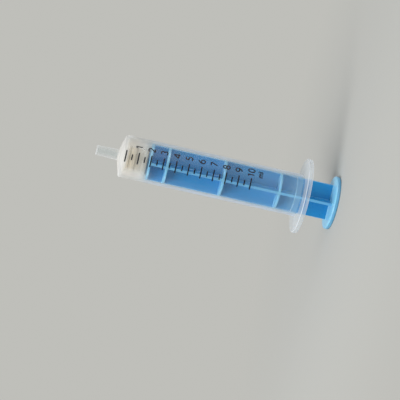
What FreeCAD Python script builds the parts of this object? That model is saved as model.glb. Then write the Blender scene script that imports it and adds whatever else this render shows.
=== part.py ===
"""A 10 ml plastic syringe with a luer slip tip, standing on its thumb disc with the plunger pushed home.

Millimetres. The origin is the centre of the thumb disc's face on the table, and +Z runs along the axis
to the tip. The graduated side of the barrel faces -Y.

Three mouldings: the barrel, the plunger rod and the rubber seal on the rod's head.
"""
import FreeCAD
import Part

import math
import os

# Barrel bore and wall
bore_diameter = 15.6
barrel_wall = 1.1
bore_length = 76.7
bore_mouth_round = 0.4

# Closed end of the barrel, a shallow cone of even wall
end_wall = 1.2
end_rise = 1.8
shoulder_round = 0.9
bore_end_round = 0.35

# Luer slip cone, to the usual 6 percent taper
tip_length = 9.2
tip_end_diameter = 3.97
tip_taper = 0.06
tip_hole_diameter = 2.0
tip_root_round = 0.6
tip_end_round = 0.15

# Finger flange, a full round disc at the open end
flange_diameter = 31.6
flange_thickness = 2.0
flange_edge_round = 0.5
flange_root_round = 0.8

# Retention bead inside the open end, which stops the front disc of the rod
bead_height = 0.2
bead_width = 0.9
bead_inset = 4.7

# Plunger rod: cruciform stem and its discs
vane_root_thickness = 1.5
vane_edge_thickness = 1.1
disc_thickness = 1.0
disc_edge_round = 0.2
front_bay = 7.2
long_bay = 23.8
plunger_turn_deg = -8.5

# Thumb disc with grip ribs inside a plain rim
thumb_diameter = 22.5
thumb_thickness = 1.9
thumb_edge_round = 0.55
thumb_standoff = 11.1
rim_width = 1.3
rib_pitch = 1.05
groove_floor_width = 0.3
groove_mouth_width = 0.65
groove_depth = 0.3

# Seat on the front disc under the seal, and the mushroom head inside the seal
seat_diameter = 11.0
seat_height = 0.6
seat_round = 0.15
neck_diameter = 4.6
neck_length = 2.1
head_diameter = 7.6
head_rim_height = 0.7
head_cone_height = 1.8
head_top_diameter = 3.0
head_round = 0.3

# Rubber seal
seal_length = 8.95
seal_ring_width = 1.5
seal_ring_round = 0.5
seal_groove_width = 1.0
seal_groove_depth = 0.25
seal_waist_depth = 0.45
seal_rear_ring_width = 1.7
seal_nose_flat_diameter = 2.2

# Clearances
seal_bore_clearance = 0.05
front_disc_clearance = 0.1
bead_clearance = 0.1
nose_clearance = 0.3
seal_back_clearance = 0.12
socket_clearance = 0.1

# Worked out from the sizes above: radii
bore_r = bore_diameter / 2
barrel_r = bore_r + barrel_wall
tip_root_r = tip_end_diameter / 2 + tip_taper * tip_length / 2
tip_hole_r = tip_hole_diameter / 2
stem_r = bore_r - bead_height - bead_clearance
front_disc_r = bore_r - front_disc_clearance
seal_r = bore_r - seal_bore_clearance

# Worked out from the sizes above: heights over the table
mouth_z = thumb_thickness + thumb_standoff
bore_end_z = mouth_z + bore_length
shoulder_z = bore_end_z + end_wall
tip_root_z = shoulder_z + end_rise
tip_end_z = tip_root_z + tip_length
flange_top_z = mouth_z + flange_thickness
bead_z = mouth_z + bead_inset
seal_front_z = bore_end_z - nose_clearance
seal_back_z = seal_front_z - seal_length
seat_top_z = seal_back_z - seal_back_clearance
front_disc_z = seat_top_z - seat_height - disc_thickness


def turned_corner(before, corner, after, radius):
    """Start, middle and end of the arc that turns one corner of an outline, tangent to both its runs."""
    to_before = (before - corner).normalize()
    to_after = (after - corner).normalize()
    half_angle = to_before.getAngle(to_after) / 2
    bisector = (to_before + to_after).normalize()
    reach = radius / math.tan(half_angle)
    middle = corner + bisector * (radius / math.sin(half_angle) - radius)
    return corner + to_before * reach, middle, corner + to_after * reach


def outline_face(corners):
    """A face in the XZ plane from corners (radius from the axis, height, rounding radius)."""
    points = [FreeCAD.Vector(r, 0, z) for r, z, _ in corners]
    edges = []
    ends = []
    for i, (_, _, rounding) in enumerate(corners):
        if rounding == 0:
            ends.append((points[i], points[i]))
            continue
        start, middle, end = turned_corner(points[i - 1], points[i], points[(i + 1) % len(points)], rounding)
        edges.append(Part.Arc(start, middle, end).toShape())
        ends.append((start, end))
    for i, (_, leave) in enumerate(ends):
        arrive = ends[(i + 1) % len(ends)][0]
        edges.append(Part.makeLine(leave, arrive))
    return Part.Face(Part.Wire(Part.__sortEdges__(edges)))


def turned(corners):
    """A solid of revolution about the Z axis."""
    return outline_face(corners).revolve(FreeCAD.Vector(), FreeCAD.Vector(0, 0, 1), 360)


def disc(radius, bottom_z, thickness, rounding):
    """A flat disc with rounded edges, centred on the axis."""
    top_z = bottom_z + thickness
    return turned([(0, bottom_z, 0), (radius, bottom_z, rounding), (radius, top_z, rounding), (0, top_z, 0)])


def make_barrel():
    """The barrel in one turned outline: down the outside from the tip, then back up the bore."""
    flange_r = flange_diameter / 2
    bead_r = bore_r - bead_height
    bead_top_z = bead_z + bead_width / 2
    bead_bottom_z = bead_z - bead_width / 2
    bead_round = bead_height
    outside = [
        (tip_end_diameter / 2, tip_end_z, tip_end_round),
        (tip_root_r, tip_root_z, tip_root_round),
        (barrel_r, shoulder_z, shoulder_round),
        (barrel_r, flange_top_z, flange_root_round),
        (flange_r, flange_top_z, flange_edge_round),
        (flange_r, mouth_z, flange_edge_round),
    ]
    bore = [
        (bore_r, mouth_z, bore_mouth_round),
        (bore_r, bead_bottom_z, 0),
        (bead_r, bead_bottom_z + bead_round, bead_round),
        (bead_r, bead_top_z - bead_round, bead_round),
        (bore_r, bead_top_z, 0),
        (bore_r, bore_end_z, bore_end_round),
        (tip_hole_r, bore_end_z + end_rise, 0),
        (tip_hole_r, tip_end_z, tip_end_round),
    ]
    return turned(outside + bore)


def head_outline(growth):
    """Outside of the mushroom head and neck, grown all over by a clearance: corners from neck foot to top."""
    neck_r = neck_diameter / 2 + growth
    head_r = head_diameter / 2 + growth
    top_r = head_top_diameter / 2
    head_foot_z = seat_top_z + neck_length
    rim_top_z = head_foot_z + head_rim_height
    top_z = rim_top_z + head_cone_height
    return [
        (neck_r, head_foot_z - growth, 0),
        (head_r, head_foot_z - growth, head_round),
        (head_r, rim_top_z + growth, 0),
        (top_r, top_z + growth, 0),
        (0, top_z + growth, 0),
    ]


def make_seal():
    """The rubber seal: coned nose, two front rings with a groove between, waist, rear ring, inside socket."""
    groove_r = seal_r - seal_groove_depth
    waist_r = seal_r - seal_waist_depth
    nose_r = seal_nose_flat_diameter / 2
    nose_slope = end_rise / (bore_r - tip_hole_r)
    nose_z = seal_front_z + nose_slope * (seal_r - nose_r)
    ring_1_z = seal_front_z - seal_ring_width
    ring_2_z = ring_1_z - seal_groove_width
    waist_top_z = ring_2_z - seal_ring_width
    waist_bottom_z = seal_back_z + seal_rear_ring_width
    outside = [
        (0, nose_z, 0),
        (nose_r, nose_z, seal_ring_round),
        (seal_r, seal_front_z, seal_ring_round),
        (seal_r, ring_1_z, seal_ring_round),
        (groove_r, ring_1_z - seal_groove_depth / 2, 0),
        (groove_r, ring_2_z + seal_groove_depth / 2, 0),
        (seal_r, ring_2_z, seal_ring_round),
        (seal_r, waist_top_z, seal_ring_round),
        (waist_r, waist_top_z - seal_waist_depth / 2, 0),
        (waist_r, waist_bottom_z + seal_waist_depth / 2, 0),
        (seal_r, waist_bottom_z, seal_ring_round),
        (seal_r, seal_back_z, seal_ring_round),
    ]
    socket = [(neck_diameter / 2 + socket_clearance, seal_back_z, 0)] + head_outline(socket_clearance)
    return turned(outside + socket)


def make_stem():
    """The four vanes: arms thinning from root to edge, their edges rounded to the stem's radius."""
    root = vane_root_thickness / 2
    edge = vane_edge_thickness / 2
    arm = [(root, root), (edge, bore_r), (-edge, bore_r), (-root, root)]
    section = []
    for quarter in range(4):
        turn = math.radians(90 * quarter)
        cos, sin = round(math.cos(turn)), round(math.sin(turn))
        section += [FreeCAD.Vector(x * cos - y * sin, x * sin + y * cos, 0) for x, y in arm[:3]]
    height = front_disc_z - thumb_thickness
    overlap = disc_thickness / 2
    vanes = Part.Face(Part.makePolygon(section + section[:1])).extrude(FreeCAD.Vector(0, 0, height + 2 * overlap))
    round_edge = Part.makeCylinder(stem_r, height + 2 * overlap)
    stem = vanes.common(round_edge)
    stem.translate(FreeCAD.Vector(0, 0, thumb_thickness - overlap))
    return stem


def stiffening_disc_heights():
    """Lower faces of the stiffening discs: one short bay behind the front disc, then long bays down the bore."""
    heights = []
    z = front_disc_z - front_bay
    while z > bead_z + bead_width:
        heights.append(z)
        z -= long_bay
    return heights


def make_grooves():
    """The grooves that leave the grip ribs standing level with the rim of the thumb disc."""
    grip_r = thumb_diameter / 2 - rim_width
    floor = groove_floor_width / 2
    mouth = groove_mouth_width / 2
    below = groove_depth
    flare = mouth + (mouth - floor) * below / groove_depth
    count = int(grip_r / rib_pitch)
    grooves = []
    for i in range(-count, count + 1):
        y = i * rib_pitch
        section = [(y - flare, -below), (y + flare, -below), (y + floor, groove_depth), (y - floor, groove_depth)]
        corners = [FreeCAD.Vector(-grip_r, a, z) for a, z in section]
        face = Part.Face(Part.makePolygon(corners + corners[:1]))
        grooves.append(face.extrude(FreeCAD.Vector(2 * grip_r, 0, 0)))
    grip_area = Part.makeCylinder(grip_r, groove_depth + below, FreeCAD.Vector(0, 0, -below))
    return Part.makeCompound(grooves).common(grip_area)


def make_rod():
    """The plunger rod: thumb disc, vaned stem, discs, and the mushroom head that holds the seal."""
    thumb = disc(thumb_diameter / 2, 0, thumb_thickness, thumb_edge_round).cut(make_grooves())
    front = disc(front_disc_r, front_disc_z, disc_thickness, disc_edge_round)
    stiffeners = [disc(stem_r, z, disc_thickness, disc_edge_round) for z in stiffening_disc_heights()]
    seat_r = seat_diameter / 2
    foot_z = front_disc_z + disc_thickness / 2
    seat = turned([(0, foot_z, 0), (seat_r, foot_z, 0), (seat_r, seat_top_z, seat_round), (0, seat_top_z, 0)])
    neck_foot = [(0, foot_z, 0), (neck_diameter / 2, foot_z, 0)]
    head = turned(neck_foot + head_outline(0))
    rod = make_stem().multiFuse([thumb, front, seat, head] + stiffeners).removeSplitter()
    rod.rotate(FreeCAD.Vector(), FreeCAD.Vector(0, 0, 1), plunger_turn_deg)
    return rod


def save(name, shape):
    """Write one node, as its single solid."""
    solid = shape.Solids[0]
    print(name, "solids", len(shape.Solids), "valid", solid.isValid(), "volume_mm3", round(solid.Volume, 1))
    solid.exportStep(os.path.join("parts", name + ".step"))


os.makedirs("parts", exist_ok=True)
save("barrel", make_barrel())
save("plunger_rod", make_rod())
save("plunger_seal", make_seal())

slide_travel = front_disc_z - (bead_z + bead_width / 2)
print("overall height", round(tip_end_z, 2), "slide travel to the bead", round(slide_travel, 2))
print("tip root", round(tip_root_z, 2), "seal front", round(seal_front_z, 2), "front disc", round(front_disc_z, 2))
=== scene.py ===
"""A 10 ml luer slip syringe that stands on its thumb disc: mouldings, finishes, printed scale and studio.

Sizes are in millimetres, as in the part's source, and every mesh is written in metres. The syringe's axis is
+Z, from the thumb disc to the tip, and the graduated side of the barrel faces -Y.
"""

import logging
import math
from dataclasses import dataclass
from enum import Enum
from typing import Any

import bpy
import numpy as np
from mathutils import Matrix, Vector
from numpy.typing import NDArray

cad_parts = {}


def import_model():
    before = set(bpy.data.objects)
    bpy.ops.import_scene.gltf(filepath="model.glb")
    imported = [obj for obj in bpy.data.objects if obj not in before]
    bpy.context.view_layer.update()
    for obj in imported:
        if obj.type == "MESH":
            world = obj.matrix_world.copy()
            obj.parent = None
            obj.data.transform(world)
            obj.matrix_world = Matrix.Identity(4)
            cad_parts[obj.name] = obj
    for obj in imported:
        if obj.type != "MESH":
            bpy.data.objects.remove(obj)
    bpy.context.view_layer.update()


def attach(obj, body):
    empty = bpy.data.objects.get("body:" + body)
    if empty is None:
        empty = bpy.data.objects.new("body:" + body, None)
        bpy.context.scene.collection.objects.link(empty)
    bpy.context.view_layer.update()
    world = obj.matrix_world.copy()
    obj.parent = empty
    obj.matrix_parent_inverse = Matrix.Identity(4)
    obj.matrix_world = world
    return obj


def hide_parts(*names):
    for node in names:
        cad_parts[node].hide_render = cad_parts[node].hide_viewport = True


Array = NDArray[np.float64]
Colour = tuple[float, float, float]
Point = tuple[float, float, float]
Corner = tuple[float, float, float]
Span = tuple[float, float]
Socket = bpy.types.NodeSocket
Material = bpy.types.Material
Stroke = tuple[Array, bool]

MM = 0.001
MIN_ROUND = 0.02
EDGE_BLUR = 0.1
STROKE_POINTS = 40
NOISE_RANGE = (0.3, 0.7)
BACKDROP = (0.52, 0.52, 0.49)
log = logging.getLogger("syringe")


class Body(Enum):
    """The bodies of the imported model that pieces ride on."""

    ROD = "plunger_rod"
    SEAL = "plunger_seal"
    BARREL = "barrel"


class Slot(Enum):
    """The record's material slots."""

    CLEAR = "clear_barrel"
    BLUE = "blue_plunger"
    CREAM = "cream_rubber"


# Meshes


@dataclass(frozen=True)
class Shell:
    """One closed surface: vertices in millimetres, and faces that point outwards."""

    vertices: Array
    quads: NDArray[np.int64]
    triangles: NDArray[np.int64]

    def volume(self) -> float:
        """The enclosed volume: a sixth of the sum of a . (b x c) over the triangles a, b, c."""
        halves = np.vstack([self.quads[:, [0, 1, 2]], self.quads[:, [0, 2, 3]], self.triangles])
        a, b, c = (self.vertices[halves[:, i]] for i in range(3))
        return float(np.einsum("ij,ij->", a, np.cross(b, c))) / 6

    def outward(self) -> "Shell":
        """The same surface, turned inside out if its volume comes out negative."""
        if self.volume() >= 0:
            return self
        return Shell(self.vertices, self.quads[:, ::-1], self.triangles[:, ::-1])

    def turned(self, degrees: float) -> "Shell":
        """The same surface, turned about the Z axis."""
        cos, sin = math.cos(math.radians(degrees)), math.sin(math.radians(degrees))
        turn = np.array([[cos, sin, 0], [-sin, cos, 0], [0, 0, 1]])
        return Shell(self.vertices @ turn, self.quads, self.triangles)


def grid_shell(points: Array, wrap_rows: bool = False) -> Shell:
    """A closed surface from a grid of points whose columns run round.

    The grid's shape is (rows, columns, 3), and each of its cells is a quad. With wrap_rows the rows run
    round as well, or else the first and the last row are each closed by a fan about their mean point.
    """
    rows, columns = points.shape[:2]
    index = np.arange(rows * columns).reshape(rows, columns)
    if wrap_rows:
        index = np.vstack([index, index[:1]])
    here, there = index[:-1], index[1:]
    quads = np.stack([here, np.roll(here, -1, 1), np.roll(there, -1, 1), there], -1).reshape(-1, 4)
    vertices = points.reshape(-1, 3)
    triangles = np.empty((0, 3), int)
    if not wrap_rows:
        first, last = index[0], index[-1]
        centre = len(vertices)
        vertices = np.vstack([vertices, points[0].mean(0), points[-1].mean(0)])
        start = np.stack([np.full(columns, centre), np.roll(first, -1), first], -1)
        end = np.stack([np.full(columns, centre + 1), last, np.roll(last, -1)], -1)
        triangles = np.vstack([start, end])
    return Shell(vertices, quads, triangles).outward()


def rounded_outline(corners: Array, rounds: Array, steps: int, closed: bool, guard: float = 0.08) -> Array:
    """Outline with rounded corners: each corner is an arc tangent to both runs.

    With u and v the unit directions from the corner to its neighbours and h half the angle between them, the
    arc's centre is on the bisector at r / sin h, its ends are at r / tan h, and a point on it is the centre
    plus r times the spherical mix of its two end directions. A guard point on each run next to the arc keeps
    the shading of the flat run flat.

    Args:
        corners: array of shape (..., n, 2).
        rounds: the n rounding radii, all above zero.
        steps: segments in an arc.
        closed: whether the last corner joins the first. If not, the two end corners stay sharp.
        guard: distance of a guard point from its arc, at most a third of the run.
    """
    before = np.roll(corners, 1, -2) - corners
    after = np.roll(corners, -1, -2) - corners
    length = np.linalg.norm(after, axis=-1)
    u = before / np.linalg.norm(before, axis=-1, keepdims=True)
    v = after / length[..., None]
    half = np.arccos(np.clip((u * v).sum(-1), -1, 1)) / 2
    if not closed:
        rounds = rounds.copy()
        rounds[[0, -1]] = 0
    reach = rounds / np.tan(half)
    straight = length - reach - np.roll(reach, -1, -1)
    guard_after = np.minimum(guard, straight / 3)
    guard_before = np.roll(guard_after, 1, -1)
    bisector = u + v
    bisector /= np.linalg.norm(bisector, axis=-1, keepdims=True)
    centre = corners + bisector * (rounds / np.sin(half))[..., None]
    start = corners + u * reach[..., None]
    end = corners + v * reach[..., None]
    sweep = math.pi - 2 * half
    t = np.linspace(0, 1, steps + 1)
    weight_start = np.sin((1 - t) * sweep[..., None]) / np.sin(sweep)[..., None]
    weight_end = np.sin(t * sweep[..., None]) / np.sin(sweep)[..., None]
    arc = centre[..., None, :] + weight_start[..., None] * (start - centre)[..., None, :]
    arc = arc + weight_end[..., None] * (end - centre)[..., None, :]
    lead = (start + u * guard_before[..., None])[..., None, :]
    trail = (end + v * guard_after[..., None])[..., None, :]
    parts = np.concatenate([lead, arc, trail], axis=-2)
    if closed:
        return parts.reshape(*corners.shape[:-2], -1, 2)
    inner = parts[..., 1:-1, :, :].reshape(*corners.shape[:-2], -1, 2)
    return np.concatenate([corners[..., :1, :], inner, corners[..., -1:, :]], axis=-2)


def turned_shell(corners: list[Corner], closed: bool, columns: int, steps: int = 6) -> Shell:
    """A turned solid: the outline (r, z) goes round the axis as (r cos a, r sin a, z).

    A corner is a radius, a height and a rounding, and a rounding has that many steps. A closed outline makes
    a tube, and an open one starts and ends on flat faces, which are closed by fans.
    """
    table = np.array(corners, float)
    outline = rounded_outline(table[:, :2], np.maximum(table[:, 2], MIN_ROUND), steps, closed)
    if not closed:
        outline = outline[1:-1]
    angle = np.linspace(0, 2 * math.pi, columns, endpoint=False)
    radius, height = outline[:, :1], outline[:, 1:]
    points = np.stack([radius * np.cos(angle), radius * np.sin(angle), height + 0 * angle], -1)
    return grid_shell(points, wrap_rows=closed)


def new_object(name: str, data: bpy.types.ID) -> bpy.types.Object:
    """A new object in the scene, at the origin."""
    item = bpy.data.objects.new(name, data)
    bpy.context.scene.collection.objects.link(item)
    return item


def make_piece(name: str, shells: list[Shell], material: Material, body: Body) -> bpy.types.Object:
    """Write shells into one smooth mesh object at the origin and let it ride on a body."""
    vertices: list[Array] = []
    faces: list[list[int]] = []
    offset = 0
    for shell in shells:
        vertices.append(shell.vertices * MM)
        faces += (shell.quads + offset).tolist() + (shell.triangles + offset).tolist()
        offset += len(shell.vertices)
    mesh = bpy.data.meshes.new(name)
    mesh.from_pydata(np.vstack(vertices).tolist(), [], faces)
    mesh.polygons.foreach_set("use_smooth", np.ones(len(mesh.polygons), bool))
    mesh.update()
    mesh.materials.append(material)
    piece = new_object(name, mesh)
    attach(piece, body.value)
    log.info("%s: %d faces on %s", name, len(mesh.polygons), body.value)
    return piece


# Finishes


@dataclass(frozen=True)
class Grain:
    """Noise on object coordinates: cycles a metre along X, Y and Z, octaves, and a shift of the pattern."""

    scale: Point
    octaves: float
    shift: float = 0.0


class NodeSheet:
    """The node tree of a material or of the world, with short ways to add and join nodes."""

    def __init__(self, owner: Material | bpy.types.World) -> None:
        """Start with an empty tree."""
        owner.use_nodes = True
        self.owner = owner
        self.tree = owner.node_tree
        self.tree.nodes.clear()

    @classmethod
    def named(cls, name: str) -> "NodeSheet":
        """The sheet of a new material."""
        return cls(bpy.data.materials.new(name))

    def add(self, kind: str, inputs: dict[str | int, Any] | None = None, **settings: Any) -> bpy.types.Node:
        """Add a node of a kind, which is its type without the ShaderNode prefix.

        Its inputs are given by name or number, each with a value or with another node's output to join.
        """
        node = self.tree.nodes.new("ShaderNode" + kind)
        for key, value in settings.items():
            setattr(node, key, value)
        for key, value in (inputs or {}).items():
            if isinstance(value, Socket):
                self.tree.links.new(value, node.inputs[key])
            else:
                node.inputs[key].default_value = value
        return node

    def place(self) -> Socket:
        """The point in object coordinates, in metres."""
        return self.add("TexCoord").outputs["Object"]

    def noise(self, grain: Grain) -> Socket:
        """The noise value of a grain."""
        inputs = {"Vector": self.place(), "Scale": grain.scale, "Location": (grain.shift,) * 3}
        mapped = self.add("Mapping", inputs).outputs[0]
        inputs = {"Vector": mapped, "Scale": 1.0, "Detail": grain.octaves}
        return self.add("TexNoise", inputs).outputs["Fac"]

    def spread(self, value: Socket, low: float, high: float) -> Socket:
        """Map noise, which lies mostly in NOISE_RANGE, onto the range low to high."""
        start, end = NOISE_RANGE
        inputs = {"Value": value, "From Min": start, "From Max": end, "To Min": low, "To Max": high}
        return self.add("MapRange", inputs).outputs[0]

    def between(self, share: Socket, low: float, high: float) -> Socket:
        """A share of 0 to 1 mapped onto the range low to high."""
        return self.add("MapRange", {"Value": share, "To Min": low, "To Max": high}).outputs[0]

    def step(self, value: Socket, start: float, end: float) -> Socket:
        """A smooth step from 0 where the value is start to 1 where it is end."""
        inputs = {"Value": value, "From Min": start, "From Max": end}
        return self.add("MapRange", inputs, interpolation_type="SMOOTHSTEP").outputs[0]

    def ramp(self, length: Socket, start_mm: float, end_mm: float) -> Socket:
        """A smooth step from 0 at start_mm to 1 at end_mm of a length that is in metres."""
        return self.step(length, start_mm * MM, end_mm * MM)

    def near(self, length: Socket, middle_mm: float, half_mm: float) -> Socket:
        """One within half_mm of the middle of a length that is in metres, and zero farther off."""
        gap = self.join("SUBTRACT", length, middle_mm * MM)
        gap = self.add("Math", {0: gap}, operation="ABSOLUTE").outputs[0]
        return self.ramp(gap, half_mm + EDGE_BLUR, half_mm - EDGE_BLUR)

    def height(self) -> Socket:
        """The point's height."""
        return self.add("SeparateXYZ", {0: self.place()}).outputs["Z"]

    def radius(self) -> Socket:
        """The point's distance from the Z axis."""
        flat = self.add("VectorMath", {0: self.place(), 1: (1, 1, 0)}, operation="MULTIPLY").outputs[0]
        return self.length(flat)

    def length(self, vector: Socket) -> Socket:
        """A vector's length."""
        return self.add("VectorMath", {0: vector}, operation="LENGTH").outputs["Value"]

    def blend(self, share: Socket, first: Colour | Socket, second: Colour) -> Socket:
        """The first colour where the share is 0, and the second where it is 1.

        The Mix node's sockets for colours are inputs 6 and 7 and output 2.
        """
        start = first if isinstance(first, Socket) else (*first, 1)
        return self.add("Mix", {0: share, 6: start, 7: (*second, 1)}, data_type="RGBA").outputs[2]

    def mix(self, share: Socket, first: Socket, second: Socket) -> Socket:
        """The first value where the share is 0, and the second where it is 1."""
        return self.add("Mix", {0: share, 2: first, 3: second}, data_type="FLOAT").outputs[0]

    def join(self, operation: str, first: Socket, second: Socket | float) -> Socket:
        """Two values joined by a Math operation."""
        return self.add("Math", {0: first, 1: second}, operation=operation).outputs[0]

    def larger(self, first: Socket, second: Socket) -> Socket:
        """The larger of two values."""
        return self.join("MAXIMUM", first, second)

    def times(self, first: Socket, second: Socket | float) -> Socket:
        """The product of two values."""
        return self.join("MULTIPLY", first, second)

    def seen(self) -> Socket:
        """One where a camera, glossy or transmission ray looks, and zero for rays that only carry light."""
        path = self.add("LightPath").outputs
        direct = self.larger(path["Is Camera Ray"], path["Is Glossy Ray"])
        return self.larger(direct, path["Is Transmission Ray"])

    def fade(self, length: Socket, zone: Span, low: float, high: float) -> Socket:
        """The value low where a length is before a zone in mm, and high where it is past it."""
        return self.between(self.ramp(length, *zone), low, high)

    def bump(self, noise: Socket, relief: Span) -> Socket:
        """The normal of a surface with a relief, given as its strength and its full height in metres."""
        inputs = {"Height": noise, "Strength": relief[0], "Distance": relief[1]}
        return self.add("Bump", inputs).outputs[0]

    def mix_shader(self, share: Socket | float, first: Socket, second: Socket) -> Socket:
        """The first shader where the share is 0, and the second where it is 1."""
        return self.add("MixShader", {0: share, 1: first, 2: second}).outputs[0]

    def finish(self, shader: Socket, output: str = "OutputMaterial") -> Material | bpy.types.World:
        """Join the shader to a new output and return the material or the world."""
        self.tree.links.new(shader, self.add(output).inputs["Surface"])
        return self.owner


@dataclass(frozen=True)
class ClearPolypropylene:
    """Clear moulding with a slight milkiness, which grows with the depth of plastic that is looked through.

    Light passes straight through the thin walls, so what is inside keeps its place. Over that lie a soft
    gloss and a milky veil. The veil is thin on the wall of the bore, thicker on the flange and the tip, and
    thickest at the closed end, on rounded corners and wherever the surface is seen at a slant. On the bead,
    the flange's rims and the tip's end ring that veil is partly painted highlight, standing for the bright
    lines that refraction gives there. A thicker, bluer veil towards the open end is painted light: it lifts
    the bays that the discs and the flange shade.

    A pair that ends in _z or _radius is where a smooth step starts and ends, in mm, and one in _facing the
    same for the slant of view, from 0 to 1. The other pairs are the lowest and the highest value of a share.
    """

    tint: Colour = (0.975, 0.99, 0.995)
    milk: Colour = (0.945, 0.95, 0.955)
    end_milk: Colour = (0.905, 0.915, 0.925)
    face_milk: Colour = (0.44, 0.76, 0.93)
    # Painted light: the lighter blue veil colour towards the open end, lifting the bays that are shaded
    # there.
    mouth_milk: Colour = (0.52, 0.80, 0.96)
    mouth_z: Span = (52.0, 22.0)
    back_share: float = 0.52
    wall: Span = (0.028, 0.62)
    wall_facing: Span = (0.40, 0.62)
    # Painted light: extra veil towards the open end and in the throat above the flange brightens shaded
    # bays.
    open_end: float = 0.075
    open_z: Span = (62.0, 18.0)
    throat: float = 0.22
    throat_z: Span = (23.0, 15.5)
    collar: Span = (0.10, 0.46)
    collar_power: float = 2.0
    nozzle: Span = (0.02, 0.75)
    seal: Span = (0.10, 0.55)
    seal_facing: Span = (0.06, 0.36)
    seal_z: Span = (76.5, 83.0)
    # Share of veil on the corners: partly milk, partly painted highlight.
    corner: float = 0.80
    end_share: float = 0.72
    end_z: Span = (87.6, 90.4)
    nozzle_z: Span = (92.2, 93.4)
    collar_z: Span = (15.9, 15.4)
    bead_middle: float = 17.7
    bead_half: float = 0.27
    bead_radius: Span = (7.9, 7.85)
    rim_radius: Span = (15.3, 15.5)
    rim_low_z: Span = (13.5, 13.2)
    rim_high_z: Span = (14.5, 14.8)
    tip_ring_z: Span = (101.2, 101.6)
    tip_hole_radius: Span = (1.2, 1.5)
    tip_hole_share: float = 0.15
    tube_radius: Span = (9.4, 9.1)
    outside_radius: Span = (8.2, 8.5)
    inner_veil: float = 0.25
    inner_gloss: float = 0.1
    gloss: Span = (0.022, 0.14)
    gloss_power: float = 5.0
    gloss_rough: Span = (0.42, 0.50)
    patchiness: Span = (0.93, 1.07)
    clouds: Grain = Grain((160.0, 160.0, 50.0), 2.0, 7.0)
    haze: Grain = Grain((900.0, 900.0, 500.0), 2.0, 3.0)
    ripple: Grain = Grain((90.0, 90.0, 30.0), 1.0)
    ripple_relief: Span = (0.02, 0.0004)
    shadow_tint: Colour = (0.965, 0.985, 0.995)

    def build(self) -> Material:
        """Make the material: a plain pass for shadows and bounces, so that the inside stays lit."""
        sheet = NodeSheet.named("clear_polypropylene")
        facing = sheet.add("LayerWeight", {"Blend": 0.5}).outputs["Facing"]
        veil = self.veil(sheet, facing)
        skin = self.skin(sheet, facing)
        tone = self.tone(sheet, facing)
        back = sheet.add("BsdfTranslucent", {"Color": tone}).outputs[0]
        front = sheet.add("BsdfDiffuse", {"Color": tone}).outputs[0]
        body = sheet.mix_shader(veil, skin, sheet.mix_shader(self.back_share, front, back))
        path = sheet.add("LightPath").outputs
        passing = sheet.larger(path["Is Shadow Ray"], path["Is Diffuse Ray"])
        through = sheet.add("BsdfTransparent", {"Color": (*self.shadow_tint, 1)}).outputs[0]
        return sheet.finish(sheet.mix_shader(passing, body, through))

    def skin(self, sheet: NodeSheet, facing: Socket) -> Socket:
        """The clear wall with its soft gloss, which grows as a power of the slant of view."""
        bump = sheet.bump(sheet.noise(self.ripple), self.ripple_relief)
        rough = sheet.spread(sheet.noise(self.haze), *self.gloss_rough)
        inputs = {"Color": (1, 1, 1, 1), "Roughness": rough, "Normal": bump}
        gloss = sheet.add("BsdfGlossy", inputs).outputs[0]
        clear = sheet.add("BsdfTransparent", {"Color": (*self.tint, 1)}).outputs[0]
        shine = sheet.between(sheet.join("POWER", facing, self.gloss_power), *self.gloss)
        outside = sheet.fade(sheet.radius(), self.outside_radius, self.inner_gloss, 1.0)
        return sheet.mix_shader(sheet.times(shine, outside), clear, gloss)

    def tone(self, sheet: NodeSheet, facing: Socket) -> Socket:
        """The veil's colour: bluer where the tube is seen face on, a lighter blue towards the open end as
        painted light on the shaded bays there, whiter at the closed end.
        """
        height = sheet.height()
        face_on = sheet.step(facing, *reversed(self.wall_facing))
        face_on = sheet.times(face_on, sheet.ramp(sheet.radius(), *self.tube_radius))
        painted_mouth_share = sheet.times(sheet.ramp(height, *self.mouth_z), face_on)
        tone = sheet.blend(face_on, self.milk, self.face_milk)
        tone = sheet.blend(painted_mouth_share, tone, self.mouth_milk)
        return sheet.blend(sheet.ramp(height, *self.seal_z), tone, self.end_milk)

    def veil(self, sheet: NodeSheet, facing: Socket) -> Socket:
        """The share of veil, from 0 to 1, by the place on the moulding and by the slant of view: mostly
        milk, with painted light towards the open end and partly painted highlight on the corners.
        """
        height, radius = sheet.height(), sheet.radius()
        outside = sheet.fade(radius, self.outside_radius, self.inner_veil, 1.0)
        slant = sheet.times(sheet.step(facing, *self.wall_facing), outside)
        wall = sheet.between(slant, *self.wall)
        # Painted light: extra veil at the open end and the throat lifts the bays that the discs and flange
        # shade.
        for zone, extra in ((self.open_z, self.open_end), (self.throat_z, self.throat)):
            wall = sheet.join("ADD", wall, sheet.fade(height, zone, 0.0, extra))
        seal = sheet.larger(wall, sheet.between(sheet.step(facing, *self.seal_facing), *self.seal))
        hole = sheet.fade(radius, self.tip_hole_radius, self.tip_hole_share, 1.0)
        cone = sheet.times(sheet.between(facing, *self.nozzle), hole)
        collar = sheet.between(sheet.join("POWER", facing, self.collar_power), *self.collar)
        share = wall
        for zone, layer in ((self.seal_z, seal), (self.nozzle_z, cone), (self.collar_z, collar)):
            share = sheet.mix(sheet.ramp(height, *zone), share, layer)
        before_tip = sheet.ramp(height, *reversed(self.nozzle_z))
        closed = sheet.times(sheet.ramp(height, *self.end_z), before_tip)
        share = sheet.larger(share, sheet.times(closed, self.end_share))
        # Partly painted highlight: the corners get a whiter veil in place of refraction's bright lines.
        share = sheet.larger(share, sheet.times(self.corners(sheet, height, radius), self.corner))
        patches = sheet.spread(sheet.noise(self.clouds), *self.patchiness)
        return sheet.add("Math", {0: share, 1: patches}, operation="MULTIPLY", use_clamp=True).outputs[0]

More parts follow.
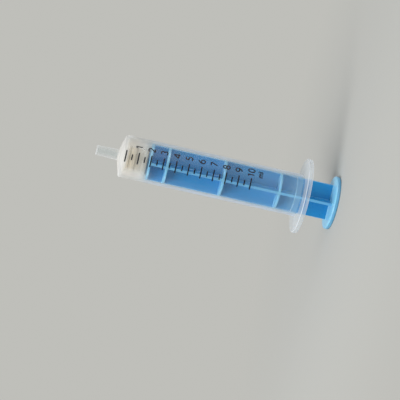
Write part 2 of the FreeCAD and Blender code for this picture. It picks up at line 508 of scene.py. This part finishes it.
    def corners(self, sheet: NodeSheet, height: Socket, radius: Socket) -> Socket:
        """One on the bore's bead, on the flange's two rims and on the tip's end ring: partly milk, partly a
        painted highlight in place of the bright lines that refraction draws there.
        """
        bead = sheet.near(height, self.bead_middle, self.bead_half)
        bead = sheet.times(bead, sheet.ramp(radius, *self.bead_radius))
        rims = sheet.larger(sheet.ramp(height, *self.rim_low_z), sheet.ramp(height, *self.rim_high_z))
        rims = sheet.times(rims, sheet.ramp(radius, *self.rim_radius))
        return sheet.larger(sheet.larger(bead, rims), sheet.ramp(height, *self.tip_ring_z))


@dataclass(frozen=True)
class BluePlastic:
    """Satin blue moulded plastic of the rod, with a painted glow: the thin vane edges, the discs and the
    thumb disc are painted paler, standing for the light that comes through thin plastic and catches its
    edges.

    A pair that ends in _z or _radius is where a smooth step starts and ends, in mm. The glow's depth is how
    far red, green and blue light go in, in metres.
    """

    colour: Colour = (0.007, 0.236, 0.520)
    deep: Colour = (0.005, 0.200, 0.472)
    # Painted glow: the paler colour that edges, discs and the thumb disc are blended towards.
    pale: Colour = (0.27, 0.60, 0.80)
    vane_radius: Span = (7.1, 7.5)
    disc_radius: Span = (1.0, 5.0)
    thumb_z: Span = (2.15, 1.95)
    disc_middles: tuple[float, ...] = (79.23, 72.03, 48.23, 24.43)
    disc_half: float = 0.62
    vane_share: float = 0.40
    disc_share: float = 0.69
    thumb_share: float = 0.86
    rim_radius: Span = (10.9, 11.1)
    rim_z: Span = (1.45, 1.2)
    rim_share: float = 0.55
    roughness: Span = (0.26, 0.38)
    ior: float = 1.43
    glow: float = 0.12
    glow_depth: Colour = (0.0004, 0.0012, 0.003)
    streaks: Grain = Grain((420.0, 420.0, 45.0), 3.0)
    handling: Grain = Grain((1500.0, 1500.0, 900.0), 4.0, 5.0)
    texture: Grain = Grain((3200.0, 3200.0, 2400.0), 2.0, 9.0)
    texture_relief: Span = (0.08, 0.0001)

    def build(self) -> Material:
        """Make the material: flow streaks along the rod in colour, fine moulding grain in gloss and bump,
        and a painted glow that turns the vane edges, the discs and the thumb disc paler.
        """
        sheet = NodeSheet.named("blue_plunger_plastic")
        streaks = sheet.spread(sheet.noise(self.streaks), 0.0, 1.0)
        body = sheet.blend(streaks, self.deep, self.colour)
        radius, height = sheet.radius(), sheet.height()
        # Painted glow and highlight: the discs, the vane edges and the thumb disc, less on its lower rim,
        # turn paler.
        disc = sheet.near(height, self.disc_middles[0], self.disc_half)
        for middle in self.disc_middles[1:]:
            disc = sheet.larger(disc, sheet.near(height, middle, self.disc_half))
        vane = sheet.fade(radius, self.vane_radius, 0.0, self.vane_share)
        plate = sheet.fade(radius, self.disc_radius, 0.0, self.disc_share)
        stem = sheet.mix(disc, vane, plate)
        thumb = sheet.fade(height, self.thumb_z, 0.0, self.thumb_share)
        low_side = sheet.times(sheet.ramp(radius, *self.rim_radius), sheet.ramp(height, *self.rim_z))
        thumb = sheet.times(thumb, sheet.between(low_side, 1.0, self.rim_share))
        glow_painted_colour = sheet.blend(sheet.larger(stem, thumb), body, self.pale)
        inputs = {
            "Base Color": glow_painted_colour,
            "Roughness": sheet.spread(sheet.noise(self.handling), *self.roughness),
            "IOR": self.ior,
            "Subsurface Weight": self.glow,
            "Subsurface Radius": self.glow_depth,
            "Subsurface Scale": 1.0,
            "Normal": sheet.bump(sheet.noise(self.texture), self.texture_relief),
        }
        return sheet.finish(sheet.add("BsdfPrincipled", inputs).outputs[0])


@dataclass(frozen=True)
class CreamRubber:
    """Smooth cream rubber of the seal, warmer and lighter towards the front, greyer and darker towards the
    rear.
    """

    warm: Colour = (0.51, 0.41, 0.285)
    pale: Colour = (0.375, 0.355, 0.31)
    turn_z: Span = (80.5, 87.5)
    value: Span = (0.94, 1.06)
    roughness: Span = (0.42, 0.58)
    glow: float = 0.1
    glow_depth: Colour = (0.0012, 0.0009, 0.0006)
    speckle: Grain = Grain((2600.0, 2600.0, 2600.0), 3.0, 2.0)
    speckle_relief: Span = (0.12, 0.0001)

    def build(self) -> Material:
        """Make the material: the two tones meet along Z, and a fine speckle varies colour and gloss."""
        sheet = NodeSheet.named("cream_rubber_seal")
        share = sheet.ramp(sheet.height(), *self.turn_z)
        tone = sheet.blend(share, self.pale, self.warm)
        speckle = sheet.noise(self.speckle)
        value = sheet.spread(speckle, *self.value)
        shaded = sheet.add("HueSaturation", {"Color": tone, "Value": value}).outputs[0]
        inputs = {
            "Base Color": shaded,
            "Roughness": sheet.spread(speckle, *self.roughness),
            "Subsurface Weight": self.glow,
            "Subsurface Radius": self.glow_depth,
            "Subsurface Scale": 1.0,
            "Normal": sheet.bump(speckle, self.speckle_relief),
        }
        return sheet.finish(sheet.add("BsdfPrincipled", inputs).outputs[0])


@dataclass(frozen=True)
class ScaleInk:
    """Printing ink of the scale: near-black, with slight unevenness."""

    dark: Colour = (0.005, 0.006, 0.009)
    thin: Colour = (0.012, 0.014, 0.020)
    roughness: Span = (0.4, 0.55)
    gloss: float = 0.15
    patches: Grain = Grain((2400.0, 2400.0, 2400.0), 3.0, 4.0)

    def build(self) -> Material:
        """Make the material: ink lies thinner in small patches."""
        sheet = NodeSheet.named("scale_ink")
        patches = sheet.spread(sheet.noise(self.patches), 0.0, 1.0)
        inputs = {
            "Base Color": sheet.blend(patches, self.dark, self.thin),
            "Roughness": sheet.spread(patches, *self.roughness),
            "Specular IOR Level": self.gloss,
        }
        return sheet.finish(sheet.add("BsdfPrincipled", inputs).outputs[0])


@dataclass(frozen=True)
class PaleFloor:
    """Plain matt pale floor of the studio.

    It fades into the backdrop's colour between two distances from the syringe, in metres.
    """

    colour: Colour = (0.455, 0.455, 0.43)
    far: Colour = BACKDROP
    fade: Span = (0.02, 0.19)
    roughness: float = 0.9
    gloss: float = 0.1
    paper: Grain = Grain((220.0, 220.0, 220.0), 3.0)
    paper_relief: Span = (0.02, 0.0002)

    def build(self) -> Material:
        """Make the material: matt with a barely visible paper grain, and plain where it is far off."""
        sheet = NodeSheet.named("pale_floor")
        inputs = {
            "Base Color": (*self.colour, 1),
            "Roughness": self.roughness,
            "Specular IOR Level": self.gloss,
            "Normal": sheet.bump(sheet.noise(self.paper), self.paper_relief),
        }
        matt = sheet.add("BsdfPrincipled", inputs).outputs[0]
        plain = sheet.add("Emission", {"Color": (*self.far, 1), "Strength": 1.0}).outputs[0]
        far = sheet.step(sheet.length(sheet.place()), *self.fade)
        share = sheet.times(far, sheet.seen())
        return sheet.finish(sheet.mix_shader(share, matt, plain))


# The syringe


@dataclass
class Barrel:
    """The barrel: slip cone, coned end, shoulder, bore with its retention bead, and the finger flange."""

    material: Material
    bore_radius: float = 7.8
    outer_radius: float = 8.9
    mouth_z: float = 13.0
    bore_end_z: float = 89.7
    shoulder_z: float = 90.9
    tip_root_z: float = 92.7
    tip_end_z: float = 101.9
    tip_end_radius: float = 1.985
    tip_root_radius: float = 2.261
    tip_hole_radius: float = 1.0
    end_rise: float = 1.8
    flange_radius: float = 15.8
    flange_thickness: float = 2.0
    bead_z: float = 17.7
    bead_height: float = 0.2
    bead_width: float = 0.9
    columns: int = 256

    def outline(self) -> list[Corner]:
        """Corners of the turned outline: down the outside from the tip, then back up the bore."""
        flange_top_z = self.mouth_z + self.flange_thickness
        bead_radius = self.bore_radius - self.bead_height
        bead_low = self.bead_z - self.bead_width / 2
        bead_high = self.bead_z + self.bead_width / 2
        return [
            (self.tip_end_radius, self.tip_end_z, 0.15),
            (self.tip_root_radius, self.tip_root_z, 0.6),
            (self.outer_radius, self.shoulder_z, 0.9),
            (self.outer_radius, flange_top_z, 0.8),
            (self.flange_radius, flange_top_z, 0.5),
            (self.flange_radius, self.mouth_z, 0.5),
            (self.bore_radius, self.mouth_z, 0.4),
            (self.bore_radius, bead_low, 0.1),
            (bead_radius, bead_low + self.bead_height, 0.12),
            (bead_radius, bead_high - self.bead_height, 0.12),
            (self.bore_radius, bead_high, 0.1),
            (self.bore_radius, self.bore_end_z, 0.35),
            (self.tip_hole_radius, self.bore_end_z + self.end_rise, 0.3),
            (self.tip_hole_radius, self.tip_end_z, 0.15),
        ]

    def build(self) -> None:
        """Make the barrel in place of its CAD node."""
        shell = turned_shell(self.outline(), True, self.columns)
        piece = make_piece("barrel_moulding", [shell], self.material, Body.BARREL)
        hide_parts("barrel")


@dataclass
class PlungerRod:
    """The plunger rod: ribbed thumb disc, four-vaned stem, its discs, and the head inside the seal."""

    material: Material
    turn_degrees: float = -8.5
    stem_radius: float = 7.5
    vane_root: float = 0.75
    vane_edge: float = 0.55
    vane_edge_round: float = 0.3
    root_fillet: float = 0.35
    disc_fillet: float = 0.35
    disc_thickness: float = 1.0
    disc_round: float = 0.2
    disc_proud: float = 0.01
    front_disc_radius: float = 7.7
    front_disc_z: float = 78.73
    stiffener_z: tuple[float, ...] = (71.53, 47.73, 23.93)
    seat_radius: float = 5.5
    seat_height: float = 0.6
    neck_radius: float = 2.3
    neck_length: float = 2.1
    cap_radius: float = 3.8
    cap_rim: float = 0.7
    cap_height: float = 2.5
    cap_flat: float = 1.5
    overlap: float = 0.5
    thumb_radius: float = 11.25
    thumb_thickness: float = 1.9
    thumb_round: float = 0.55
    grip_radius: float = 9.95
    recess_depth: float = 0.7
    plate_top: float = 0.9
    plate_overlap: float = 0.03
    plate_margin: float = 0.05
    plate_end: float = 0.02
    groove_depth: float = 0.3
    rib_pitch: float = 1.05
    groove_floor: float = 0.15
    groove_mouth: float = 0.325
    stem_steps: int = 4
    flare_rows: int = 7
    disc_columns: int = 160
    thumb_columns: int = 224
    thumb_steps: int = 8
    head_columns: int = 96

    def stem(self) -> Shell:
        """The vanes: a four-armed section carried up the axis.

        The section is a polygon of twelve rounded corners. Within disc_fillet of a disc's face its arms grow
        by f = r - sqrt(r^2 - (r - d)^2), where d is the distance from the face, so they flare into the disc.
        """
        discs = sorted([*self.stiffener_z, self.front_disc_z])
        starts = np.array([self.thumb_thickness] + [z + self.disc_thickness for z in discs[:-1]])
        ends = np.array(discs)
        near = self.disc_fillet * (1 - np.cos(np.linspace(0, math.pi / 2, self.flare_rows)))
        bay = np.concatenate([starts[:, None] + near, ends[:, None] - near[::-1]], axis=1)
        first, last = self.thumb_thickness - self.overlap, self.front_disc_z + self.overlap
        z = np.concatenate([[first], bay.ravel(), [last]])
        faces = np.concatenate([starts, ends])
        distance = np.abs(z[:, None] - faces).min(1)
        gap = np.clip(self.disc_fillet - distance, 0, self.disc_fillet)
        flare = self.disc_fillet - np.sqrt(self.disc_fillet**2 - gap**2)
        root = self.vane_root + flare
        edge = self.vane_edge + flare
        radius = np.full_like(z, self.stem_radius)
        arm = np.stack([[root, root], [edge, radius], [-edge, radius]]).transpose(2, 0, 1)
        turns = np.array([[[1, 0], [0, 1]], [[0, 1], [-1, 0]], [[-1, 0], [0, -1]], [[0, -1], [1, 0]]])
        corners = np.einsum("sci,qij->sqcj", arm, turns).reshape(len(z), -1, 2)
        rounds = np.tile([self.root_fillet, self.vane_edge_round, self.vane_edge_round], len(turns))
        section = rounded_outline(corners, rounds, self.stem_steps, True)
        height = np.broadcast_to(z[:, None, None], (*section.shape[:2], 1))
        return grid_shell(np.concatenate([section, height], -1))

    def disc(self, radius: float, bottom_z: float) -> Shell:
        """A flat disc with rounded edges."""
        top_z = bottom_z + self.disc_thickness
        corners = [(0.0, bottom_z, 0.0), (radius, bottom_z, self.disc_round)]
        corners += [(radius, top_z, self.disc_round), (0.0, top_z, 0.0)]
        return turned_shell(corners, False, self.disc_columns)

    def thumb_disc(self) -> Shell:
        """The thumb disc: rounded rim round a shallow recess that takes the ribbed plate."""
        corners = [
            (0.0, self.thumb_thickness, 0.0),
            (self.thumb_radius, self.thumb_thickness, self.thumb_round),
            (self.thumb_radius, 0.0, self.thumb_round),
            (self.grip_radius, 0.0, 0.1),
            (self.grip_radius, self.recess_depth, 0.05),
            (0.0, self.recess_depth, 0.0),
        ]
        return turned_shell(corners, False, self.thumb_columns, self.thumb_steps)

    def ribbed_plate(self) -> Shell:
        """The grip ribs: a plate whose lower side is z = depth in the grooves and 0 on the ribs.

        Sections across the grooves are carried along them. The height of the lower side is piecewise
        straight in y, with four breaks a groove. Its ends follow the recess: x = +-sqrt(R^2 - y^2).
        """
        radius = self.grip_radius + self.plate_overlap
        count = int(self.grip_radius / self.rib_pitch)
        middles = np.arange(-count, count + 1)[:, None] * self.rib_pitch
        shape_y = np.array([-self.groove_mouth, -self.groove_floor, self.groove_floor, self.groove_mouth])
        groove_y = (middles + shape_y).ravel()
        groove_z = np.tile([0.0, self.groove_depth, self.groove_depth, 0.0], len(middles))
        keep = np.abs(groove_y) < radius - self.plate_margin
        end = radius - self.plate_end
        y = np.concatenate([[-end], groove_y[keep], [end]])
        z = np.concatenate([[0.0], groove_z[keep], [0.0]])
        chord = np.sqrt(radius**2 - y**2)
        across = np.array([-1, -0.5, 0, 0.5, 1, 1, 0.5, 0, -0.5, -1])
        lower = np.array([1, 1, 1, 1, 1, 0, 0, 0, 0, 0])
        x = chord[:, None] * across
        height = np.where(lower, z[:, None], self.plate_top)
        return grid_shell(np.stack([x, y[:, None] + 0 * x, height], -1))

    def head(self) -> Shell:
        """The seat under the seal, and the neck and the mushroom head inside it."""
        foot = self.front_disc_z + self.disc_thickness + self.seat_height
        cap_z = foot + self.neck_length
        top_z = cap_z + self.cap_height
        corners = [
            (0.0, foot - 2 * self.overlap, 0.0),
            (self.seat_radius, foot - 2 * self.overlap, 0.05),
            (self.seat_radius, foot, 0.15),
            (self.neck_radius, foot, 0.15),
            (self.neck_radius, cap_z, 0.2),
            (self.cap_radius, cap_z, 0.2),
            (self.cap_radius, cap_z + self.cap_rim, 0.2),
            (self.cap_flat, top_z, 0.3),
            (0.0, top_z, 0.0),
        ]
        return turned_shell(corners, False, self.head_columns)

    def build(self) -> None:
        """Make the rod in place of its CAD node."""
        shells = [self.stem(), self.disc(self.front_disc_radius, self.front_disc_z), self.thumb_disc()]
        shells += [self.disc(self.stem_radius + self.disc_proud, z) for z in self.stiffener_z]
        shells += [self.ribbed_plate(), self.head()]
        turned = [shell.turned(self.turn_degrees) for shell in shells]
        piece = make_piece("plunger_rod_moulding", turned, self.material, Body.ROD)
        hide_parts("plunger_rod")


@dataclass
class Seal:
    """The rubber seal: coned nose, two front rings with a groove between, waist, rear ring and socket."""

    material: Material
    radius: float = 7.75
    front_z: float = 89.4
    back_z: float = 80.45
    nose_flat: float = 1.1
    nose_slope: float = 1.8 / 6.8
    ring_width: float = 1.5
    groove_width: float = 1.0
    groove_depth: float = 0.25
    waist_depth: float = 0.45
    rear_ring_width: float = 1.7
    ring_round: float = 0.5
    socket_neck: float = 2.4
    socket_head: float = 3.9
    socket_rim: float = 0.9
    socket_flat: float = 1.5
    neck_top_z: float = 82.33
    head_top_z: float = 85.03
    columns: int = 192

    def outline(self) -> list[Corner]:
        """Corners from the nose down the outside, across the back and up into the socket."""
        groove_r = self.radius - self.groove_depth
        waist_r = self.radius - self.waist_depth
        nose_z = self.front_z + self.nose_slope * (self.radius - self.nose_flat)
        ring_1 = self.front_z - self.ring_width
        ring_2 = ring_1 - self.groove_width
        waist_top = ring_2 - self.ring_width
        waist_low = self.back_z + self.rear_ring_width
        return [
            (0.0, nose_z, 0.0),
            (self.nose_flat, nose_z, self.ring_round),
            (self.radius, self.front_z, self.ring_round),
            (self.radius, ring_1, self.ring_round),
            (groove_r, ring_1 - self.groove_depth / 2, 0.12),
            (groove_r, ring_2 + self.groove_depth / 2, 0.12),
            (self.radius, ring_2, self.ring_round),
            (self.radius, waist_top, self.ring_round),
            (waist_r, waist_top - self.waist_depth / 2, 0.25),
            (waist_r, waist_low + self.waist_depth / 2, 0.25),
            (self.radius, waist_low, self.ring_round),
            (self.radius, self.back_z, self.ring_round),
            (self.socket_neck, self.back_z, 0.1),
            (self.socket_neck, self.neck_top_z, 0.1),
            (self.socket_head, self.neck_top_z, 0.2),
            (self.socket_head, self.neck_top_z + self.socket_rim, 0.2),
            (self.socket_flat, self.head_top_z, 0.2),
            (0.0, self.head_top_z, 0.0),
        ]

    def build(self) -> None:
        """Make the seal in place of its CAD node."""
        shell = turned_shell(self.outline(), False, self.columns)
        piece = make_piece("plunger_seal_rubber", [shell], self.material, Body.SEAL)
        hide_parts("plunger_seal")


# The printed scale


def line(*points: Span) -> Stroke:
    """An open stroke: the polynomial curve through the points, by Lagrange's formula."""
    knots = np.linspace(0, 1, len(points))
    t = np.linspace(0, 1, STROKE_POINTS)
    weights = [
        np.prod([(t - k) / (knots[i] - k) for j, k in enumerate(knots) if j != i], axis=0)
        for i in range(len(points))
    ]
    return np.stack(weights, -1) @ np.array(points), False


def arc(x: float, y: float, rx: float, ry: float, start: float, end: float) -> Stroke:
    """A stroke along the ellipse (x + rx cos t, y + ry sin t), closed where t goes all the way round."""
    closed = abs(end - start) >= 360
    t = np.radians(np.linspace(start, end, STROKE_POINTS, endpoint=not closed))
    return np.stack([x + rx * np.cos(t), y + ry * np.sin(t)], -1), closed


# Each glyph's width and its strokes, in a box one unit high
GLYPHS: dict[str, tuple[float, list[Stroke]]] = {
    "0": (0.64, [arc(0.32, 0.5, 0.25, 0.45, 0, 360)]),
    "1": (0.64, [line((0.38, 0.95), (0.38, 0.05)), line((0.17, 0.79), (0.38, 0.95))]),
    "2": (0.62, [
        arc(0.30, 0.70, 0.23, 0.25, 165, -38),
        line((0.481, 0.546), (0.27, 0.28), (0.07, 0.05)),
        line((0.07, 0.05), (0.57, 0.05)),
    ]),
    "3": (0.58, [arc(0.27, 0.73, 0.20, 0.22, 150, -90), arc(0.27, 0.28, 0.24, 0.23, 90, -150)]),
    "4": (0.68, [
        line((0.48, 0.05), (0.48, 0.95)),
        line((0.48, 0.95), (0.03, 0.26)),
        line((0.03, 0.26), (0.65, 0.26)),
    ]),
    "5": (0.58, [
        line((0.50, 0.95), (0.15, 0.95)),
        line((0.15, 0.95), (0.11, 0.54)),
        arc(0.27, 0.32, 0.24, 0.27, 132, -145),
    ]),
    "6": (0.62, [
        arc(0.31, 0.32, 0.25, 0.27, 0, 360),
        line((0.06, 0.32), (0.11, 0.60), (0.25, 0.82), (0.46, 0.95)),
    ]),
    "7": (0.58, [line((0.05, 0.95), (0.54, 0.95)), line((0.54, 0.95), (0.34, 0.50), (0.20, 0.05))]),
    "8": (0.62, [arc(0.31, 0.735, 0.19, 0.215, 0, 360), arc(0.31, 0.285, 0.24, 0.235, 0, 360)]),
    "9": (0.62, [
        arc(0.31, 0.69, 0.24, 0.26, 0, 360),
        line((0.55, 0.68), (0.50, 0.40), (0.36, 0.18), (0.15, 0.05)),
    ]),
    "m": (0.86, [
        line((0.08, 0.66), (0.08, 0.05)),
        arc(0.245, 0.42, 0.165, 0.22, 180, 0),
        line((0.41, 0.42), (0.41, 0.05)),
        arc(0.575, 0.42, 0.165, 0.22, 180, 0),
        line((0.74, 0.42), (0.74, 0.05)),
    ]),
    "l": (0.26, [line((0.12, 0.98), (0.12, 0.05))]),
}


@dataclass
class PrintedScale:
    """The black scale on the -Y side of the barrel: a mark each half millilitre and the numerals 1 to 10."""

    material: Material
    radius: float = 8.9
    zero_z: float = 89.58
    ml_length: float = 5.238
    last_ml: int = 10
    long_mark: float = 5.0
    short_mark: float = 2.4
    mark_width: float = 0.54
    mark_round: float = 0.08
    mark_points: int = 33
    numeral_height: float = 3.0
    numeral_middle: float = 4.85
    numeral_lead: float = 0.4
    stretch: float = 1.15
    pen: float = 0.53
    thinnest: float = 0.25
    film: float = 0.03
    sunk: float = 0.01
    pen_across: tuple[float, ...] = (-1, -0.86, 0, 0.86, 1, 0.86, 0, -0.86)
    pen_lift: tuple[float, ...] = (0.4, 1, 1, 1, 0.4, 0, 0, 0)
    unit_z: float = 33.7
    unit_share: float = 0.8

    def wrapped(self, path: Array, width: float, closed: bool, end_round: float) -> Shell:
        """A stroke of ink bent round the barrel.

        The pen's flat section is carried along the path. A point that lies u mm round the barrel and v mm
        along it goes to (R sin(u / r), -R cos(u / r), v), where R is the radius r plus the point's lift.
        Within end_round mm of an open end the half width shrinks as the chord of a circle.
        """
        if closed:
            tangent = np.roll(path, -1, 0) - np.roll(path, 1, 0)
            share = np.ones(len(path))
        else:
            tangent = np.gradient(path, axis=0)
            step = np.linalg.norm(np.diff(path, axis=0), axis=1)
            run = np.concatenate([[0], np.cumsum(step)])
            to_end = np.minimum(run, run[-1] - run)
            missing = np.clip(1 - to_end / end_round, 0, 1)
            share = np.maximum(np.sqrt(1 - missing**2), self.thinnest)
        tangent = tangent / np.linalg.norm(tangent, axis=1, keepdims=True)
        normal = np.stack([-tangent[:, 1], tangent[:, 0]], -1)
        offset = (share * width / 2)[:, None] * np.array(self.pen_across)
        u = path[:, :1] + offset * normal[:, :1]
        v = path[:, 1:] + offset * normal[:, 1:]
        radius = self.radius - self.sunk + np.array(self.pen_lift) * (self.film + self.sunk)
        angle = u / self.radius
        points = np.stack([radius * np.sin(angle), -radius * np.cos(angle), v], -1)
        return grid_shell(points, wrap_rows=closed)

    def mark(self, z: float, length: float) -> Shell:
        """A straight mark across the barrel's near side, with its corners slightly rounded."""
        u = np.linspace(-length / 2, length / 2, self.mark_points)
        return self.wrapped(np.stack([u, np.full_like(u, z)], -1), self.mark_width, False, self.mark_round)

    def word(self, text: str, middle: float, middle_z: float, size: float) -> list[Shell]:
        """The strokes of a short text, upright when the tip is up.

        Its middle is at the height middle_z and lies middle mm round the barrel from the marks' middles.
        """
        cells = [GLYPHS[character][0] * size * self.stretch for character in text]
        left = middle - sum(cells) / 2
        shells: list[Shell] = []
        for character, cell in zip(text, cells):
            for path, closed in GLYPHS[character][1]:
                path = path * np.array([size * self.stretch, size])
                path = path + np.array([left, middle_z - size / 2])
                shells.append(self.wrapped(path, self.pen, closed, self.pen / 2))
            left += cell
        return shells

    def build(self) -> None:
        """Make the marks, the numerals and the unit, each group one piece on the barrel."""
        halves = range(2 * self.last_ml + 1)
        marks = [
            self.mark(self.zero_z - h / 2 * self.ml_length, self.short_mark if h % 2 else self.long_mark)
            for h in halves
        ]
        numerals: list[Shell] = []
        for ml in range(1, self.last_ml + 1):
            z = self.zero_z - ml * self.ml_length + self.numeral_lead
            numerals += self.word(str(ml), self.numeral_middle, z, self.numeral_height)
        numerals += self.word("ml", self.numeral_middle, self.unit_z, self.unit_share * self.numeral_height)
        for name, shells in (("scale_marks", marks), ("scale_numerals", numerals)):
            piece = make_piece(name, shells, self.material, Body.BARREL)


# The studio


@dataclass(frozen=True)
class Lamp:
    """A square soft lamp, with its middle, the height on the axis that it faces and its side in metres."""

    name: str
    place: Point
    target_z: float
    size: float
    power: float
    gloss_only: bool = False

    def hang(self) -> None:
        """Hang it out of the camera's sight. A gloss_only lamp shows in reflections alone, as a sheen."""
        lamp = bpy.data.lights.new(self.name, "AREA")
        lamp.shape = "SQUARE"
        lamp.size = self.size
        lamp.energy = self.power
        holder = new_object(self.name, lamp)
        holder.location = self.place
        towards = Vector((0, 0, self.target_z)) - Vector(self.place)
        holder.rotation_euler = towards.to_track_quat("-Z", "Y").to_euler()
        holder.visible_camera = False
        holder.visible_diffuse = not self.gloss_only


@dataclass
class Studio:
    """Plain pale floor, pale surroundings, soft lamps and the camera at the photograph's angle.

    The floor's half side and the clip distances are in metres, the camera's other lengths in mm and its
    angles in degrees.
    """

    floor: Material
    lamps: tuple[Lamp, ...] = (
        Lamp("key_lamp", (-0.44, -0.48, 0.84), 0.05, 0.65, 9.6),
        Lamp("fill_lamp", (0.60, -0.45, 0.06), 0.05, 0.6, 2.0),
        Lamp("sheen_lamp", (0.39, -0.30, 0.10), 0.05, 0.42, 2.2, True),
        Lamp("lower_rim_lamp", (-0.50, -0.04, 0.06), 0.04, 0.20, 0.8, True),
        Lamp("upper_rim_lamp", (0.50, -0.04, 0.08), 0.06, 0.45, 1.3, True),
    )
    floor_half: float = 4.0
    world_light: Colour = (0.50, 0.51, 0.52)
    world_seen: Colour = BACKDROP
    aim: Point = (0.0, 0.0, 50.95)
    distance: float = 500.0
    azimuth: float = -0.43
    elevation: float = 4.59
    roll: float = -77.38
    slide_right: float = -6.65
    slide_up: float = -9.70
    focal_px: float = 1198.4
    image_px: float = 400.0
    sensor: float = 36.0
    clip: Span = (0.02, 20.0)

    def lay_floor(self) -> None:
        """A square floor at z = 0."""
        h = self.floor_half
        mesh = bpy.data.meshes.new("studio_floor")
        mesh.from_pydata([(-h, -h, 0), (h, -h, 0), (h, h, 0), (-h, h, 0)], [], [(0, 1, 2, 3)])
        mesh.materials.append(self.floor)
        piece = new_object("studio_floor", mesh)

    def fill_world(self) -> None:
        """A world that lights evenly, and that the camera and gloss see as a pale backdrop."""
        world = bpy.data.worlds.new("studio_world")
        bpy.context.scene.world = world
        sheet = NodeSheet(world)
        lit = sheet.add("Background", {0: (*self.world_light, 1)}).outputs[0]
        shown = sheet.add("Background", {0: (*self.world_seen, 1)}).outputs[0]
        sheet.finish(sheet.mix_shader(sheet.seen(), lit, shown), "OutputWorld")

    def set_camera(self) -> None:
        """The camera: it looks almost level at the standing syringe, and is rolled as in the photograph.

        With a, e and k the azimuth, elevation and roll: back = (sin a cos e, -cos a cos e, sin e), the level
        right is (cos a, sin a, 0), and the picture's right and up are those two turned by k about back.
        """
        a, e, k = (math.radians(v) for v in (self.azimuth, self.elevation, self.roll))
        back = Vector((math.sin(a) * math.cos(e), -math.cos(a) * math.cos(e), math.sin(e)))
        level = Vector((math.cos(a), math.sin(a), 0))
        upright = back.cross(level)
        right = level * math.cos(k) + upright * math.sin(k)
        up = upright * math.cos(k) - level * math.sin(k)
        place = Vector(self.aim) + back * self.distance + right * self.slide_right + up * self.slide_up
        camera = bpy.data.cameras.new("camera")
        camera.sensor_width = self.sensor
        camera.lens = self.focal_px * self.sensor / self.image_px
        camera.clip_start, camera.clip_end = self.clip
        holder = new_object("camera", camera)
        turn = Matrix((right, up, back)).transposed().to_4x4()
        holder.matrix_world = Matrix.Translation(place * MM) @ turn
        bpy.context.scene.camera = holder

    def build(self) -> None:
        """Set the stage, the light and the camera."""
        self.lay_floor()
        self.fill_world()
        for lamp in self.lamps:
            lamp.hang()
        self.set_camera()
        bpy.context.scene.view_settings.view_transform = "Standard"


def main() -> None:
    """Load the frame, then build the barrel, the rod, the seal, the scale and the studio."""
    logging.basicConfig(level=logging.INFO, format="%(message)s")
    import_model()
    Barrel(ClearPolypropylene().build()).build()
    PlungerRod(BluePlastic().build()).build()
    Seal(CreamRubber().build()).build()
    PrintedScale(ScaleInk().build()).build()
    Studio(PaleFloor().build()).build()


if __name__ == "__main__":
    main()
